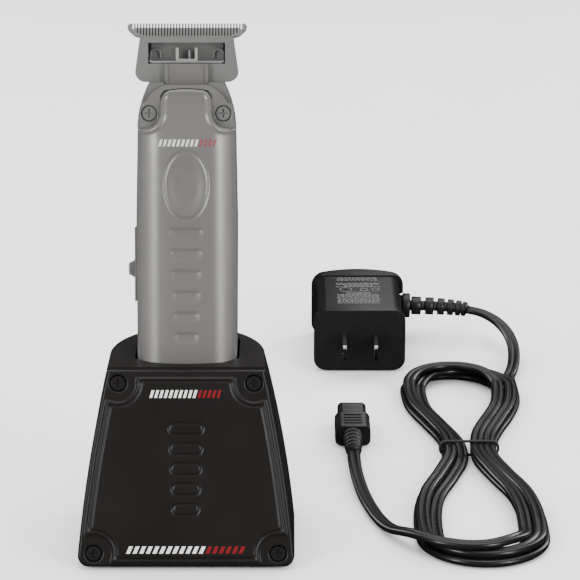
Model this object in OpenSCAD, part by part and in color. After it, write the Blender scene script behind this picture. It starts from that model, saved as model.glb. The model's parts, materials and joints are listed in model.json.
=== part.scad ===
/* [Clipper] */
// Height of the clipper from its foot to the tips of its fixed teeth
clipper_len = 147.6; // [146:0.2:150]
// Width of the grip
body_w = 35.2; // [35:0.1:36]
// Thickness of the grip, front to back
body_t = 28; // [27.6:0.1:28.6]
// Wall of the two body covers
cover_wall = 1.8; // [1.4:0.1:1.9]
// Width of the cutting edge
blade_w = 42; // [40:0.5:44]
// Travel of the moving blade to each side of its middle
blade_stroke = 1.0; // [0.6:0.1:1.0]
// Travel of the power switch
switch_travel = 5; // [3:0.5:6]

/* [Charging stand] */
// Width of the stand where it meets the table
stand_w = 75.6; // [75:0.2:77]
// Height of the stand at the top of its front face
stand_h = 65; // [64:0.5:67]
// Lean of the front face, in degrees
face_lean = 20; // [18:0.5:21]
// Lean of the docked clipper, in degrees
dock_lean = 14; // [12:0.5:15]
// Wall of the stand's housing
stand_wall = 2.4; // [2:0.1:2.6]

/* [Adapter and lead] */
// Width of the plug-in adapter
adapter_w = 36; // [34:1:38]
// Length of the adapter without its prongs
adapter_l = 54; // [52:1:56]
// Thickness of the adapter
adapter_t = 26; // [25:1:28]
// Width of the flat twin lead
lead_w = 5; // [4.6:0.1:5.2]
// Thickness of the flat twin lead
lead_t = 2.6; // [2.4:0.1:2.8]

/* [Hidden] */
$fn = 48;

fit = 0.05;            // gap between pieces that are fastened together
pilot_r = 1.05;        // hole for every screw's shank
face_head_r = 2.5;     // heads of the screws that show
face_head_hole_r = 2.85;
small_head_r = 2.1;    // heads of the screws that don't
slide_fit = 0.06;      // gap round a piece that slides
long = 200;            // longer than anything it cuts

// Body of the clipper, in its own frame: x across, y from front to back, z up its length
side_round = 5;        // corner radius of the cross-section
front_bulge_r = 60;
back_bulge_r = 45;
shoulder_angle = 50;   // slope of the long soft shoulders beside the front
shoulder_d = 18;       // distance of those slopes from the middle line
foot_half = body_w / 2 - 0.4;
grip_z = 80;           // widest point of the grip
neck_z = 111;          // where the sides start to curve in to the neck
neck_top_z = 127.2;
neck_half = 13;
shoulder_half = 17;
split_y = 1;           // seam between the front and rear covers
cap_h = 5.6;           // height of the end cap
tongue_half = 8.9;     // half width of the front cover between the two screws
tongue_top_z = 125.1;
tongue_arch_r = 40;
tongue_corner_r = 3.3;
collar_top_z = 126.4;  // the collar carries the screws and arches over the tongue
collar_arch = [3, 114.5, 12.6];    // x, z and radius of its round shoulders
collar_pad_r = 4;
collar_back_y = -8.3;  // front of the neck outside the collar
notch_z = 111.5;       // lower edge of the notches round the screws
notch_r = 5.2;
lug_y = -10.2;         // face of the chassis lugs that carry the screws
lug_drop = 2.2;        // how deep the screw heads are let into them
lug_screw_x = 12.85;
lug_screw_z = 116.5;
rear_top_z = 120;
pole_gap = 5.6;        // between the two poles of inlets and connector

// Drive
axis_y = -1;           // middle line of motor, cam and pin
cam_offset = blade_stroke;
pin_r = 0.6;

// Head
frame_front_y = -5;
moving_y = [0.85, 2.35];
fixed_y = [2.4, 4];
frame_top_z = 142.8;
frame_top_half = 16.2;
frame_low_half = 17.9;
frame_corner_r = 3.6;
window_half = 13.4;
window_z = [133.6, 140.9];
fixed_tip_z = clipper_len;
moving_tip_z = clipper_len - 1.5;
tooth_root_z = clipper_len - 4.2;
tooth_pitch = 1.05;
blade_screw_x = 9.5;
blade_screw_z = 130.4;

// Stand, with its front lower edge at stand_front_y
stand_front_y = -38;
side_arc_r = 424;      // radius of the gently curved sides
side_arc_z = -36;      // height at which that curve would be upright
side_arc_half = stand_w / 2 + 1.53;
face_len = stand_h / cos(face_lean);
face_top_y = stand_front_y + stand_h * tan(face_lean);
round_y = face_top_y + 15.05;  // middle of the round back
plate_t = 2.4;         // thickness of the front plate
top_screw = [23.5, 64.3];
low_screw = [31.8, 5.6];
screw_pad_r = 8.1;     // round notch of the raised panel round each screw
dock_y = stand_front_y + 35.9;
dock_z = 32.5;
socket_gap = 0.6;
liner_wall = 1.4;
inlet_z = 13;
base_top_z = 3.2;
foot_lift = 1;         // the housing ends this far above the table
low_corner_r = 4;      // round of its lower corners
contact_x = 6;
contact_y = -6;

// Adapter, lying flat on the table with its prongs towards -Y
adapter_x = 64.5;
adapter_y = 157;       // plane of the prong plate
adapter_base_z = 0;
relief_y = 44;         // height of the cord exit above the prong plate
relief_flange = [5.2, 3.2];    // radius and thickness of the strain relief's flange
relief_r = [3.8, 3.1];         // radius of its sleeve at the root and at the tip
prong_gap = 12.7;
shell_wall = 2;        // wall of the adapter's housing
prong_size = [1.5, 15.9, 6.35];

// Lead: route points in millimetres, chosen by hand
lead_low = lead_t / 2;
adapter_route = [
    [111, 198, 12], [115.7, 195.3, 11.4], [119.9, 191.7, 10.3], [123.4, 187.2, 8.8],
    [126.1, 181.9, 7.1], [127.9, 176, 5.4], [128.7, 169.8, 3.9], [128.6, 163.6, 2.8],
    [127.9, 157.4, 2], [126.7, 151.2, 1.5],
    [125, 145, 1.3], [125.2, 137, 1.3]
];
connector_route = [
    [60, 61, 3.4], [60, 55, 3.2], [60.2, 48, 2.7], [60.8, 40, 2], [61.8, 32, 1.5],
    [63.2, 23, 1.3], [65.2, 13, 1.3], [67.8, 3, 1.3], [71, -6, 1.5], [75, -14, 2.4],
    [80, -21, 4.2], [86, -27, 6]
];
hank_x = 104;
hank_y = [-37, 153];
hank_half = 23.5;
hank_h = 8;
tie_y = 65;
connector_x = 60;
connector_y = [61, 75, 90, 101];   // relief end, relief root, grip end, mouth
connector_z = 4;

// 2D helpers
module rounded_square(w, h, r) {
    square([w - 2 * r, h], center = true);
    square([w, h - 2 * r], center = true);
    for (sx = [-1, 1], sy = [-1, 1])
        translate([sx * (w / 2 - r), sy * (h / 2 - r)]) circle(r);
}

module pill(w, h) {
    square([w - h, h], center = true);
    for (s = [-1, 1]) translate([s * (w - h) / 2, 0]) circle(h / 2);
}

// Extrude an outline drawn in x and z from y = a to y = b
module front_prism(a, b) {
    translate([0, b, 0]) rotate([90, 0, 0]) linear_extrude(b - a) children();
}

// Extrude an outline drawn in y and z right across the width
module side_prism(w) {
    rotate([90, 0, 90]) linear_extrude(w, center = true) children();
}

module slab(x, y, z) {
    translate([x[0], y[0], z[0]]) cube([x[1] - x[0], y[1] - y[0], z[1] - z[0]]);
}

// Cross-head screw: its head stands on z = 0 and its shank points down
module screw(head_r, head_h, shank_r, shank_l) {
    difference() {
        cylinder(r = head_r, h = head_h);
        for (a = [0, 90]) rotate(a)
            translate([-head_r * 0.6, -head_r * 0.11, head_h * 0.45])
                cube([head_r * 1.2, head_r * 0.22, head_h]);
    }
    translate([0, 0, -shank_l]) cylinder(r = shank_r, h = shank_l);
}

// One closed tube along points p: w wide, t thick, its flat side level unless up points elsewhere
function unit(v) = v / norm(v);
function along(p, i) = unit(p[min(i + 1, len(p) - 1)] - p[max(i - 1, 0)]);
function sweep_ring(c, d, w, t, sides, up) =
    let (s = unit(cross(d, up)), n = cross(s, d))
    [for (k = [0:sides - 1]) let (a = 360 * (k + 0.5) / sides)
        c + s * (w / 2) * cos(a) + n * (t / 2) * sin(a)];
module sweep(p, w, t, sides = 8, up = [0, 0, 1]) {
    rings = len(p);
    points = [for (i = [0:rings - 1]) each sweep_ring(p[i], along(p, i), w, t, sides, up)];
    walls = [for (i = [0:rings - 2], k = [0:sides - 1])
        let (m = (k + 1) % sides, a = i * sides, b = a + sides)
        each [[a + k, a + m, b + m], [a + k, b + m, b + k]]];
    start = [for (k = [0:sides - 1]) sides - 1 - k];
    finish = [for (k = [0:sides - 1]) (rings - 1) * sides + k];
    polyhedron(points, concat([start], walls, [finish]), convexity = 6);
}

// ---------- Clipper ----------

// Put a piece drawn in the clipper's own frame into the dock
module docked() translate([0, dock_y, dock_z]) rotate([-dock_lean, 0, 0]) children();

// Half width of the body seen from the front, at height z
function half_at(z) =
    z < grip_z ? foot_half + (body_w / 2 - foot_half) * z / grip_z :
    z < neck_z ? body_w / 2 + (shoulder_half - body_w / 2) * (z - grip_z) / (neck_z - grip_z) :
    neck_half + (shoulder_half - neck_half) * (1 - pow((z - neck_z) / (neck_top_z - neck_z), 2));

module body_outline(g = 0) {
    heights = concat([0, grip_z], [for (i = [0:8]) neck_z + i * (neck_top_z - neck_z) / 8]);
    polygon(concat(
        [for (z = heights) [half_at(z) - g, z]],
        [for (i = [len(heights) - 1:-1:0]) [g - half_at(heights[i]), heights[i]]]));
}

module body_profile(g = 0) {
    f = body_t / 2 - g;
    polygon([[-f + 2, 0], [-f, 2], [-f, 106], [-f + 0.4, 111], [-f + 1.4, 116], [-f + 3, 120.5],
        [-f + 5.4, neck_top_z], [f - 6.6, neck_top_z], [f - 5.4, 122], [f - 3.2, 115],
        [f - 1.5, 107], [f - 0.4, 99], [f, 92], [f, 2], [f - 2, 0]]);
}

module body_form(g = 0) intersection() {
    linear_extrude(neck_top_z) body_section(g);
    front_prism(-body_t, body_t) body_outline(g);
    side_prism(body_w + 2) body_profile(g);
}
// Cross-section of the grip, drawn g inside its surface
module body_section(g) intersection() {
    intersection() {
        rounded_square(body_w - 2 * g, body_t - 2 * g, side_round - g);
        translate([0, front_bulge_r - body_t / 2]) circle(front_bulge_r - g, $fn = 96);
        translate([0, body_t / 2 - back_bulge_r]) circle(back_bulge_r - g, $fn = 96);
    }
    rotate(shoulder_angle) square([2 * (shoulder_d - g), long], center = true);
    rotate(-shoulder_angle) square([2 * (shoulder_d - g), long], center = true);
}

// Tongue of the front cover between the two screws, grown by g
module tongue_outline(g = 0) intersection() {
    translate([0, tongue_top_z - 20])
        rounded_square(2 * (tongue_half + g), 40 + 2 * g, tongue_corner_r + g);
    translate([0, tongue_top_z - tongue_arch_r]) circle(tongue_arch_r + g, $fn = 120);
}

// Outline of the raised collar round the tongue, with a pad for each screw
module collar_outline() intersection() {
    translate([-30, 100]) square([60, collar_top_z - 100]);
    for (s = [-1, 1]) {
        translate([s * collar_arch[0], collar_arch[1]]) circle(collar_arch[2], $fn = 72);
        translate([s * lug_screw_x, lug_screw_z]) circle(collar_pad_r);
    }
}

// Outline of the whole front cover, seen from the front
module cover_outline() {
    translate([-body_w, cap_h]) square([2 * body_w, notch_z - cap_h]);
    tongue_outline();
    for (s = [-1, 1]) difference() {
        translate([s * (tongue_half + notch_r / 2), notch_z + notch_r / 2])
            square([notch_r, notch_r], center = true);
        translate([s * (tongue_half + notch_r), notch_z + notch_r]) circle(notch_r);
    }
}

module switch_window() slab([-22, -13], [-3.6, 4.4], [51.5, 76]);

// Rings and pills sunk in the front of the grip
grip_pills = 6;
module front_relief(depth) {
    thumb_z = 91.8;
    thumb_r = [8, 12.4];
    ring_w = 0.9;
    difference() {
        body_form(-1);
        body_form(depth);
        slab([-30, 30], [-2, 30], [-5, 140]);
        front_prism(-20, 20) difference() {
            translate([-30, -10]) square([60, 160]);
            translate([0, thumb_z]) difference() {
                ellipse(thumb_r[0], thumb_r[1]);
                ellipse(thumb_r[0] - ring_w, thumb_r[1] - ring_w);
            }
            for (i = [0:grip_pills - 1])
                translate([0, 75.1 - 7.28 * i]) pill(13.2 - 0.7 * i, 3.8);
        }
    }
}
module ellipse(rx, ry) polygon([for (a = [0:7.5:352.5]) [rx * cos(a), ry * sin(a)]]);

module front_cover() color([0.55, 0.545, 0.54]) docked() difference() {
    intersection() {
        body_form();
        slab([-30, 30], [-30, split_y], [cap_h, 140]);
        front_prism(-30, 10) cover_outline();
    }
    body_form(cover_wall);
    front_relief(0.5);
    switch_window();
}

module rear_cover() color([0.5, 0.495, 0.49]) docked() difference() {
    intersection() {
        body_form();
        slab([-30, 30], [split_y + fit, 30], [cap_h, rear_top_z]);
    }
    body_form(cover_wall);
    switch_window();
}

inlet_mouth = [11.6, 8];
inlet_depth = 9;
clipper_inlet_y = 4.5;
end_screw_x = 12;
module end_cap() color([0.2, 0.2, 0.2]) docked() difference() {
    union() {
        intersection() { body_form(); slab([-30, 30], [-30, 30], [0, cap_h - fit]); }
        intersection() { body_form(cover_wall + fit); slab([-30, 30], [-30, 30], [cap_h - 1, 9]); }
    }
    slab([-7.05, 7.05], [clipper_inlet_y - 5.55, clipper_inlet_y + 5.55], [-1, 20]);
    for (s = [-1, 1]) {
        translate([s * contact_x, contact_y, -1]) cylinder(r = 1.4, h = 20);
        translate([s * end_screw_x, 0, -1]) cylinder(r = pilot_r, h = 20);
        translate([s * end_screw_x, 0, -1]) cylinder(r = 2.15, h = 2.6);
    }
}

module end_cap_screws() color([0.3, 0.3, 0.31]) docked() for (s = [-1, 1])
    translate([s * end_screw_x, 0, 1.6]) mirror([0, 0, 1]) screw(small_head_r, 1.2, 1, 10);

// Inner frame: neck block with two screw lugs, and the spine that carries motor and battery
module chassis() color([0.45, 0.445, 0.44]) docked() difference() {
    union() {
        difference() {
            intersection() {
                body_form();
                slab([-30, 30], [lug_y, split_y], [notch_z + fit, neck_top_z]);
            }
            front_prism(-30, 30) tongue_outline(fit);
            slab([-30, 30], [split_y, 30], [0, 200]);
        }
        intersection() {
            body_form(cover_wall + fit);
            slab([-30, 30], [-30, 30], [notch_z + fit, neck_top_z]);
            front_prism(-30, 30) union() {
                tongue_outline(2 * fit);
                translate([-30, rear_top_z + fit]) square([60, 20]);
            }
        }
        intersection() {
            body_form(cover_wall + fit);
            slab([-30, 30], [split_y - 1, 30], [notch_z + fit, neck_top_z]);
        }
        intersection() {
            body_form();
            slab([-30, 30], [0, 30], [rear_top_z + fit, neck_top_z]);
        }
        intersection() {
            body_form(cover_wall + fit);
            slab([-12, 12], [8.6, 10.4], [12, notch_z + 1]);
        }
    }
    slab([-5.2, 5.2], [axis_y - 5.2, axis_y + 5.2], [100, 140]);
    slab([-7.75, 7.75], [-30, frame_front_y], [collar_top_z, 140]);
    front_prism(-30, collar_back_y) difference() {
        translate([-30, lug_screw_z - 2]) square([60, 40]);
        collar_outline();
    }
    for (s = [-1, 1]) {
        translate([s * lug_screw_x, lug_y - 10, lug_screw_z]) rotate([-90, 0, 0])
            cylinder(r = face_head_hole_r, h = 10 + lug_drop);
        translate([s * lug_screw_x, lug_y - 1, lug_screw_z]) rotate([-90, 0, 0])
            cylinder(r = pilot_r, h = 12);
    }
    switch_window();
}

module chassis_screws() color([0.62, 0.62, 0.62]) docked() for (s = [-1, 1])
    translate([s * lug_screw_x, lug_y + lug_drop - fit, lug_screw_z]) rotate([90, 0, 0])
        screw(face_head_r, 1.3, 1, 8.5);

module neck_cover() color([0.58, 0.575, 0.57]) docked() {
    low = collar_top_z + fit;
    slab([-7.65, 7.65], [-6.4, frame_front_y - fit], [low, 133.6]);
    for (s = [-1, 1]) slab([s * 7 - 0.55, s * 7 + 0.55], [-7, -6.4], [low, 133.3]);
}

// ---------- Cutting head ----------

module frame_outline() {
    r = frame_corner_r;
    low = neck_top_z + fit + r;
    polygon(concat([[frame_top_half, frame_top_z]],
        [for (s = [1, -1], a = [0:10:90]) let (b = s > 0 ? a : 90 - a)
            [s * (frame_low_half - r + r * cos(b)), low - r * sin(b)]],
        [[-frame_top_half, frame_top_z]]));
}

module blade_frame() color([0.32, 0.32, 0.31]) docked() difference() {
    front_prism(frame_front_y, fixed_y[0] - fit) frame_outline();
    slab([-window_half, window_half], [frame_front_y - 1, moving_y[0]], window_z);
    slab([-14.2, 14.2], [moving_y[0] - 0.1, 5], [window_z[0] - 0.6, long]);
    slab([-20, 20], [moving_y[0] - 0.1, 5], [frame_top_z - 0.5, long]);
    slab([-4.6, 4.6], [axis_y - 3.4, axis_y + 3], [120, 135]);
    for (s = [-1, 1]) translate([s * blade_screw_x, -3, blade_screw_z]) rotate([-90, 0, 0])
        cylinder(r = pilot_r, h = 8);
}

// Outline of a T blade: w wide at its tips, bar from z_bar up to z_tip, stem half width h down to z_low
module blade_outline(w, z_tip, z_bar, h, z_low) {
    polygon([[-w / 2 + 0.9, z_tip], [w / 2 - 0.9, z_tip], [w / 2, z_tip - 0.9],
        [w / 2 - 0.4, z_tip - 2.6], [w / 2 - 2.6, z_bar + 0.6], [w / 2 - 4.6, z_bar],
        [h, z_bar], [h, z_low], [-h, z_low], [-h, z_bar],
        [4.6 - w / 2, z_bar], [2.6 - w / 2, z_bar + 0.6],
        [0.4 - w / 2, z_tip - 2.6], [-w / 2, z_tip - 0.9]]);
}

// Gaps between the teeth: n of them, centred, cut down to z_root
module tooth_gaps(n, gap, z_root) for (i = [0:n - 1]) {
    x = (i - (n - 1) / 2) * tooth_pitch;
    translate([x - gap / 2, z_root + max(0, abs(x) - 15.5) * 0.5]) square([gap, 20]);
}

fixed_gaps = 37;
moving_gaps = 34;               // so that its teeth rest across the gaps between the fixed ones
module fixed_blade() color([0.6, 0.6, 0.6]) docked() difference() {
    front_prism(fixed_y[0], fixed_y[1]) difference() {
        blade_outline(blade_w, fixed_tip_z, frame_top_z - 0.4, 14, 128.2);
        tooth_gaps(fixed_gaps, 0.5, tooth_root_z);
    }
    translate([0, fixed_y[0] + 0.6, fixed_tip_z]) rotate([12.5, 0, 0])
        translate([-30, 0, -30]) cube([60, 5, 40]);
    for (s = [-1, 1]) translate([s * blade_screw_x, 0, blade_screw_z]) rotate([-90, 0, 0])
        cylinder(r = pilot_r, h = 8);
}

module blade_screws() color([0.5, 0.5, 0.5]) docked() for (s = [-1, 1])
    translate([s * blade_screw_x, fixed_y[1] + fit, blade_screw_z]) rotate([-90, 0, 0])
        screw(small_head_r, 1.2, 1, 6.4);

module moving_blade() color([0.62, 0.62, 0.6]) docked() difference() {
    front_prism(moving_y[0], moving_y[1]) difference() {
        blade_outline(blade_w - 3.4, moving_tip_z, frame_top_z - 0.3, 12.5, 134.3);
        tooth_gaps(moving_gaps, 0.42, tooth_root_z - 0.1);
    }
    translate([0, moving_y[1] - 0.6, moving_tip_z]) rotate([-15, 0, 0])
        translate([-30, -5, -30]) cube([60, 5, 40]);
}

// Open yoke that the cam's pin pushes from side to side
module drive_block() color([0.75, 0.75, 0.72]) docked() {
    reach = cam_offset * 2 + pin_r + 0.2;
    for (s = [-1, 1])
        slab([s * (reach + 0.5) - 0.5, s * (reach + 0.5) + 0.5], [-3.9, moving_y[0]], [134.3, 139.2]);
    slab([-reach, reach], [-3.9, -3.05], [134.3, 135.3]);
}

spring_end = [11, 137];
function spring_loop(s) = [for (a = [0:30:180]) let (b = s > 0 ? a : 180 - a)
    [s * spring_end[0] - 1.7 * cos(b), 0.25, spring_end[1] + 1.7 * sin(b)]];
module tension_spring() color([0.8, 0.8, 0.78]) docked() {
    left = [for (p = spring_loop(-1)) p];
    right = [for (p = spring_loop(1)) p];
    outer = spring_end[0] + 1.7;
    sweep(concat([left[0] - [0, 0, 1.4]], left,
        [[-outer, -1.4, 135.2], [-outer, -4, 134.4], [-outer + 1, -4.45, 134.15],
         [outer - 1, -4.45, 134.15], [outer, -4, 134.4], [outer, -1.4, 135.2]],
        [for (i = [len(right) - 1:-1:0]) right[i]], [right[0] - [0, 0, 1.4]]),
        0.9, 0.9, 8, [0.05, 1, 0.03]);
}

// ---------- Drive, power and switch inside the clipper ----------

motor_z = [80, 104];
module motor_can() color([0.7, 0.7, 0.7]) docked() translate([0, axis_y, 0]) difference() {
    union() {
        translate([0, 0, motor_z[0]]) cylinder(r = 8.6, h = motor_z[1] - motor_z[0]);
        translate([0, 0, motor_z[1]]) cylinder(r = 3, h = 1.4);
        translate([0, 0, motor_z[0] - 1.2]) cylinder(r = 3, h = 1.2);
    }
    translate([0, 0, motor_z[0] + 2]) cylinder(r = pilot_r, h = 40);
}

module motor_shaft() color([0.75, 0.75, 0.75]) docked()
    translate([0, axis_y, motor_z[0] + 2.2]) cylinder(r = 1, h = 26.2);

module eccentric_cam() color([0.35, 0.35, 0.36]) docked() translate([0, axis_y, 0]) {
    difference() {
        translate([0, 0, 106.2]) cylinder(r = 4, h = 3.6);
        translate([0, 0, 105]) cylinder(r = 1, h = 3.4);
    }
    translate([cam_offset, 0, 109.7]) cylinder(r = 1.6, h = 20.3);
    translate([cam_offset, 0, 129.9]) cylinder(r = pin_r, h = 8.4);
}

module motor_bracket() color([0.28, 0.28, 0.28]) docked() difference() {
    intersection() {
        body_form(cover_wall + 0.2);
        union() {
            slab([-11, 11], [-9.6, 8.5], [104.1, 105.9]);
            slab([-11, 11], [7.2, 8.5], [92, 105.9]);
        }
    }
    translate([0, axis_y, 100]) cylinder(r = 3.1, h = 10);
    translate([0, axis_y, 80]) cylinder(r = 8.7, h = 24.2);
}

battery_z = [22, 72];
module battery_cell() color([0.15, 0.35, 0.6]) docked() translate([0, 0, battery_z[0]]) {
    cylinder(r = 7.1, h = battery_z[1] - battery_z[0]);
    translate([0, 0, battery_z[1] - battery_z[0]]) cylinder(r = 2.6, h = 0.9);
}

module battery_tabs() color([0.8, 0.8, 0.78]) docked() {
    slab([-2.5, 2.5], [-8.5, 3], [73, 73.3]);
    slab([-2.5, 2.5], [-8.5, 3], [21.6, 21.9]);
}

module circuit_board() color([0.05, 0.35, 0.18]) docked() {
    slab([-9.5, 9.5], [-10, -8.6], [14, 78]);
    slab([-3, 3], [-11, -10], [60, 66]);
    slab([-6, -2.5], [-10.9, -10], [30, 36]);
}

module charge_contacts() color([0.85, 0.7, 0.3]) docked() for (s = [-1, 1])
    translate([s * contact_x, contact_y, 1.3]) {
        cylinder(r = 1.35, h = 0.8);
        cylinder(r = 0.6, h = 13);
    }

module switch_plate() color([0.16, 0.16, 0.16]) docked() difference() {
    union() {
        slab([-17.6, -15.2], [-3.5, 4.3], [51.6, 75.9]);
        slab([-18.4, -17.65 + 0.06], [-4.2, 5], [50.8, 76.6]);
    }
    slab([-30, -10], [-1.3, 2.1], [57.6, 71.6]);
}

module switch_slider() color([0.42, 0.42, 0.42]) docked() difference() {
    union() {
        front_prism(-2.6, 3.4) polygon([[-18.5, 59], [-18.5, 64.9], [-20.7, 63.7], [-20.7, 60.2]]);
        slab([-18.6, -14.6], [-1.3 + slide_fit, 2.1 - slide_fit], [59.9, 64]);
        slab([-15.1, -14.2], [-2.8, 3.6], [58.6, 65.3]);
    }
    for (i = [0:3]) translate([-21, -5, 60.5 + i * 0.85]) cube([0.6, 12, 0.35]);
}

// Two-pole inlet: a block with a mouth, drawn with its mouth opening down at z = 0
module inlet_block() difference() {
    translate([-7, -5.5, 0.1]) cube([14, 11, inlet_depth + 2]);
    translate([-inlet_mouth[0] / 2, -inlet_mouth[1] / 2, -1])
        cube([inlet_mouth[0], inlet_mouth[1], inlet_depth + 1]);
    for (s = [-1, 1]) translate([s * pole_gap / 2, 0, 0]) cylinder(r = 0.87, h = 20);
}
module inlet_pin_pair() for (s = [-1, 1])
    translate([s * pole_gap / 2, 0, 2.8]) cylinder(r = 0.84, h = inlet_depth - 1.6);

module clipper_inlet() color([0.1, 0.1, 0.1]) docked()
    translate([0, clipper_inlet_y, 0.1]) inlet_block();
module clipper_inlet_pins() color([0.85, 0.7, 0.3]) docked()
    translate([0, clipper_inlet_y, 0.1]) inlet_pin_pair();

// ---------- Charging stand ----------

// The two gently curved sides, drawn in x and z
module side_arcs(g = 0) intersection() {
    translate([side_arc_half - side_arc_r, side_arc_z]) circle(side_arc_r - g, $fn = 200);
    translate([side_arc_r - side_arc_half, side_arc_z]) circle(side_arc_r - g, $fn = 200);
    translate([-50, -10]) square([100, 100]);
}

module stand_outline(g = 0) intersection() {
    side_arcs(g);
    translate([0, foot_lift + 50]) rounded_square(stand_w - 2 * g, 100, low_corner_r - min(g, 2));
}

module stand_profile(g = 0) {
    slope = g / cos(face_lean);
    polygon([[stand_front_y + slope, 0], [face_top_y + slope - (0.9 + g) * tan(face_lean), stand_h - 0.9 - g],
        [face_top_y + slope + 0.9, stand_h - g - 0.1], [face_top_y + 46, stand_h + 0.8 - g],
        [60, stand_h + 0.8 - g], [60, 0]]);
}

// Outer form of the stand, drawn g inside its surface: flat leaning face, round back
module stand_form(g = 0) intersection() {
    side_prism(long) stand_profile(g);
    union() {
        front_prism(-60, round_y) stand_outline(g);
        translate([0, round_y, 0]) rotate_extrude($fn = 96) intersection() {
            stand_outline(g);
            square([100, 100]);
        }
    }
}

// Frame of the leaning face: x across, z up the face, -y outward
module on_face() translate([0, stand_front_y, 0]) rotate([-face_lean, 0, 0]) children();
module at_face_screws() for (s = [-1, 1], p = [top_screw, low_screw])
    on_face() translate([s * p[0], 0, p[1]]) rotate([90, 0, 0]) children();
module face_slab(out, deep) on_face() slab([-60, 60], [-out, deep], [-20, 90]);

base_screws = [[32, stand_front_y + 25], [18.4, round_y + 26.3]];
module at_base_screws() for (s = [-1, 1], p = base_screws) translate([s * p[0], p[1], 0]) children();

module stand_housing() color([0.1, 0.095, 0.09]) difference() {
    union() {
        difference() {
            stand_form();
            stand_form(stand_wall);
        }
        intersection() {
            stand_form(0.3);
            at_face_screws() translate([0, 0, -9]) cylinder(r = 3.4, h = 8.9);
        }
        intersection() {
            stand_form(0.3);
            at_base_screws() translate([0, 0, base_top_z + fit]) cylinder(r = 3, h = 9);
        }
    }
    translate([-60, -60, -1]) cube([120, 120, foot_lift + 1]);
    face_slab(5, plate_t + fit);
    at_face_screws() translate([0, 0, -9.5]) cylinder(r = pilot_r, h = 20);
    at_base_screws() translate([0, 0, -1]) cylinder(r = pilot_r, h = 11);
    docked() translate([0, 0, 10]) linear_extrude(60) body_section(-socket_gap);
    translate([-7.05, 10, inlet_z - 5.55]) cube([14.1, 60, 11.1]);
}

// Middle of the front plate inside a line that runs g from its edges and pad_r round each
// screw, from low to high above the plate
module raised_panel(g, pad_r, low, high) difference() {
    intersection() {
        front_prism(-60, 0) side_arcs(g);
        on_face() slab([-60, 60], [-high, -low], [g - 0.7, face_len - 0.5 - g * 0.8]);
    }
    at_face_screws() translate([0, 0, -1]) cylinder(r = pad_r, h = 6);
}

face_pills = 5;
head_drop = 1.65;      // how deep the screw heads are let into the plate
module stand_front_plate() color([0.12, 0.115, 0.11]) difference() {
    union() {
        intersection() {
            stand_form();
            face_slab(1, plate_t);
            translate([-60, -60, foot_lift]) cube([120, 120, 90]);
        }
        difference() {
            raised_panel(2.3, screw_pad_r - 1.8, -0.2, 0.9);
            raised_panel(4, screw_pad_r - 0.5, 0.2, 3);
        }
        raised_panel(4.9, screw_pad_r + 0.4, -0.2, 0.9);
    }
    at_face_screws() translate([0, 0, -head_drop - fit]) cylinder(r = face_head_hole_r, h = 5);
    at_face_screws() translate([0, 0, -9]) cylinder(r = pilot_r, h = 12);
    on_face() for (i = [0:face_pills - 1])
        front_prism(-3, -0.4) translate([0, 48.6 - 6.95 * i]) difference() {
            pill(12.3 - 0.7 * i, 4.4);
            pill(11.1 - 0.7 * i, 3.2);
        }
}

module front_plate_screws() color([0.14, 0.14, 0.14])
    at_face_screws() translate([0, 0, -head_drop]) screw(face_head_r, 1, 1, 6.5);

module stand_base_plate() color([0.08, 0.08, 0.08]) difference() {
    intersection() {
        stand_form(stand_wall + 0.2);
        translate([-60, -60, foot_lift]) cube([120, 120, base_top_z - foot_lift]);
        face_behind(plate_t + 0.3);
    }
    at_base_screws() {
        translate([0, 0, -1]) cylinder(r = pilot_r, h = 11);
        translate([0, 0, -1]) cylinder(r = 2.3, h = foot_lift + 2.2);
    }
    at_feet() cylinder(r = 4.05, h = foot_lift + 0.8 + fit);
    at_face_screws() translate([0, 0, -9.6]) cylinder(r = 3.4 + fit, h = 12);
}
module face_behind(d) on_face() slab([-60, 60], [d, 200], [-90, 90]);

module base_plate_screws() color([0.4, 0.4, 0.4])
    at_base_screws() translate([0, 0, foot_lift + 1.2 - fit]) mirror([0, 0, 1])
        screw(small_head_r, 1, 1, 7);

feet = [[24, stand_front_y + 9], [26, stand_front_y + 45]];
module at_feet() for (s = [-1, 1], p = feet) translate([s * p[0], p[1], 0]) children();
module rubber_feet() color([0.06, 0.06, 0.06]) at_feet() cylinder(r = 4, h = foot_lift + 0.8);

liner_floor = [-1.8, -0.05];
module socket_liner() color([0.07, 0.07, 0.07]) difference() {
    intersection() {
        docked() translate([0, 0, liner_floor[0]]) linear_extrude(60)
            body_section(-socket_gap - liner_wall);
        stand_form(stand_wall + fit);
        face_behind(plate_t + 0.3);
    }
    docked() {
        translate([0, 0, liner_floor[1]]) linear_extrude(70) body_section(-socket_gap);
        for (s = [-1, 1]) translate([s * contact_x, contact_y, -6]) cylinder(r = pilot_r, h = 8);
    }
}

module contact_pin(s) docked() translate([s * contact_x, contact_y, 0]) {
    translate([0, 0, -6.6]) cylinder(r = 1, h = 7.8);
    translate([0, 0, -3.2]) cylinder(r = 1.7, h = 1.3);
}
module contact_pin_left() color([0.85, 0.7, 0.3]) contact_pin(-1);
module contact_pin_right() color([0.85, 0.7, 0.3]) contact_pin(1);

spring_turns = 4;
spring_steps = 10 * spring_turns;
module contact_spring(s) docked()
    sweep([for (i = [0:spring_steps]) let (a = 36 * i)
        [s * contact_x + 1.4 * cos(a), contact_y + 1.4 * sin(a), -9.6 + 6.1 * i / spring_steps]],
        0.5, 0.5, 6);
module contact_spring_left() color([0.8, 0.8, 0.8]) contact_spring(-1);
module contact_spring_right() color([0.8, 0.8, 0.8]) contact_spring(1);

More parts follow.
